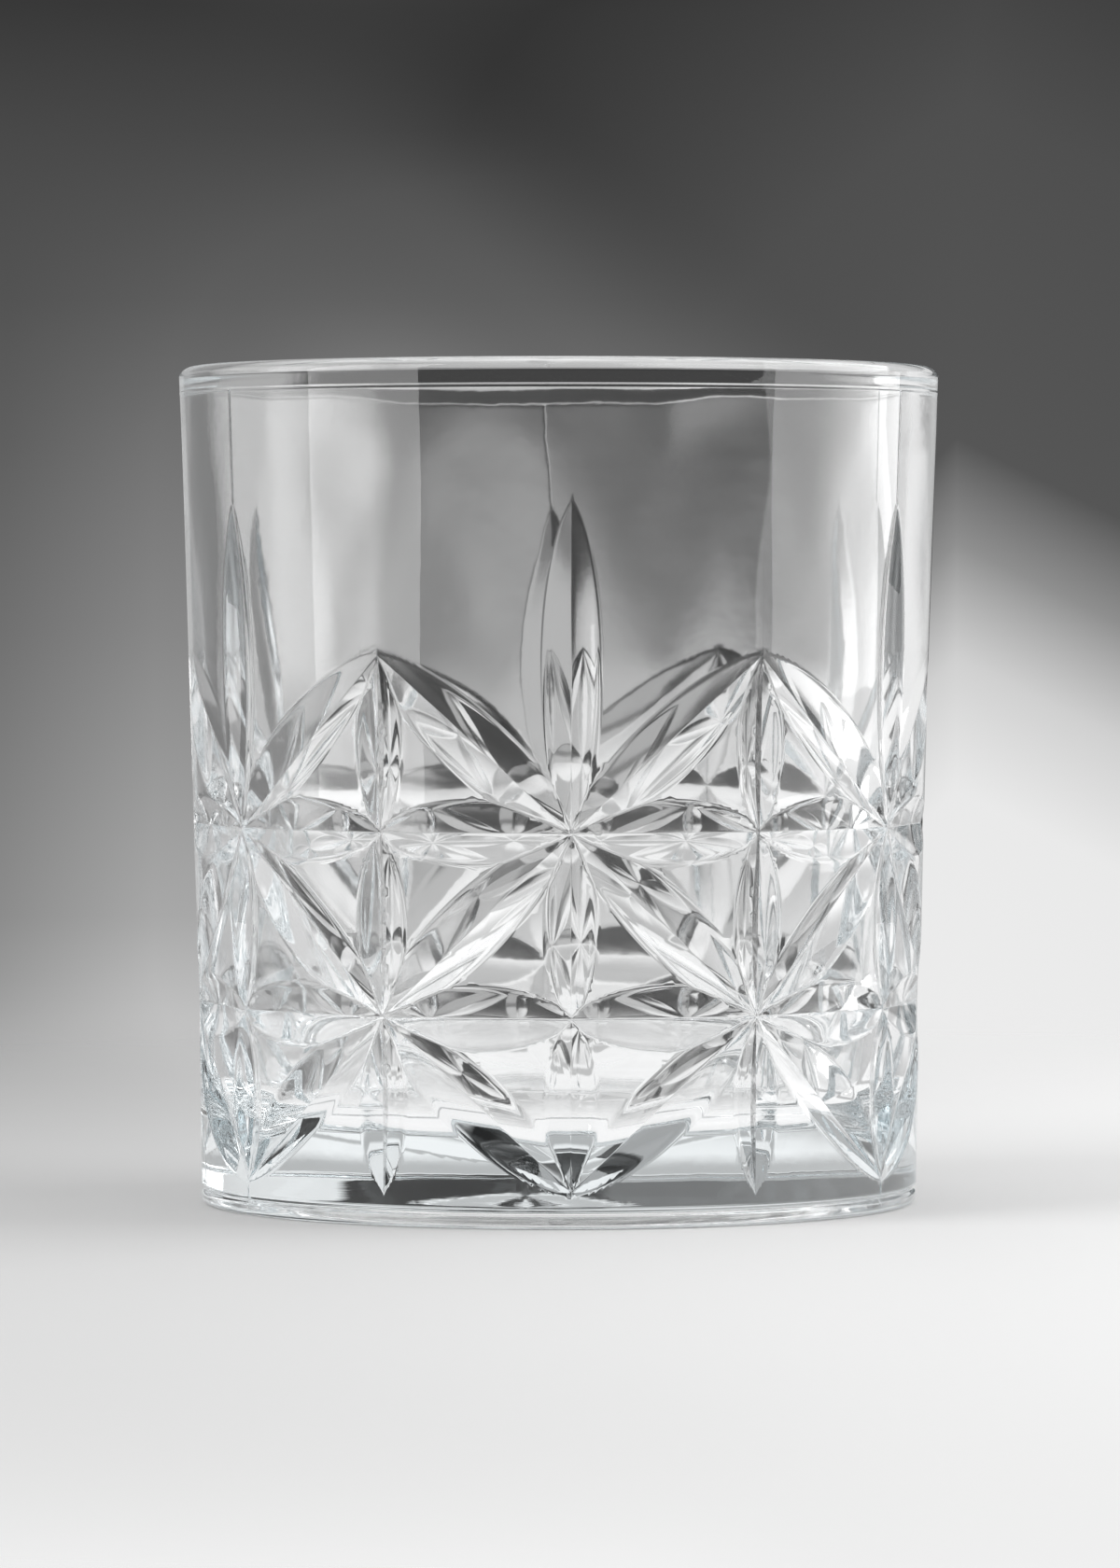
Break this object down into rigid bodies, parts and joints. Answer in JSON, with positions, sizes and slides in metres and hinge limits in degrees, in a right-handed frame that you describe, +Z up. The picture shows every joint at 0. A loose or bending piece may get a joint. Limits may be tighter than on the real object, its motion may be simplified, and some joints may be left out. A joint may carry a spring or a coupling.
{
  "type": "rocks glass",
  "caption": "Short, slightly tapered tumbler of clear pressed glass with a thick base, a rounded lip and a star-cut band of lens-shaped V cuts round its lower wall; holds a drink.",
  "frame": {"origin": "centre of the circle that the glass stands on, in the plane of the foot ring", "axes": "+Z up along the axis of the body; -Y faces the picture's camera, through a column with a star on the upper row"},
  "size_m": [0.0838, 0.0838, 0.0922],
  "materials": {
    "clear_glass": "fire-polished clear pressed glass"
  },
  "bodies": {
    "root": {"tumbler": "clear_glass"}
  },
  "joints": []
}
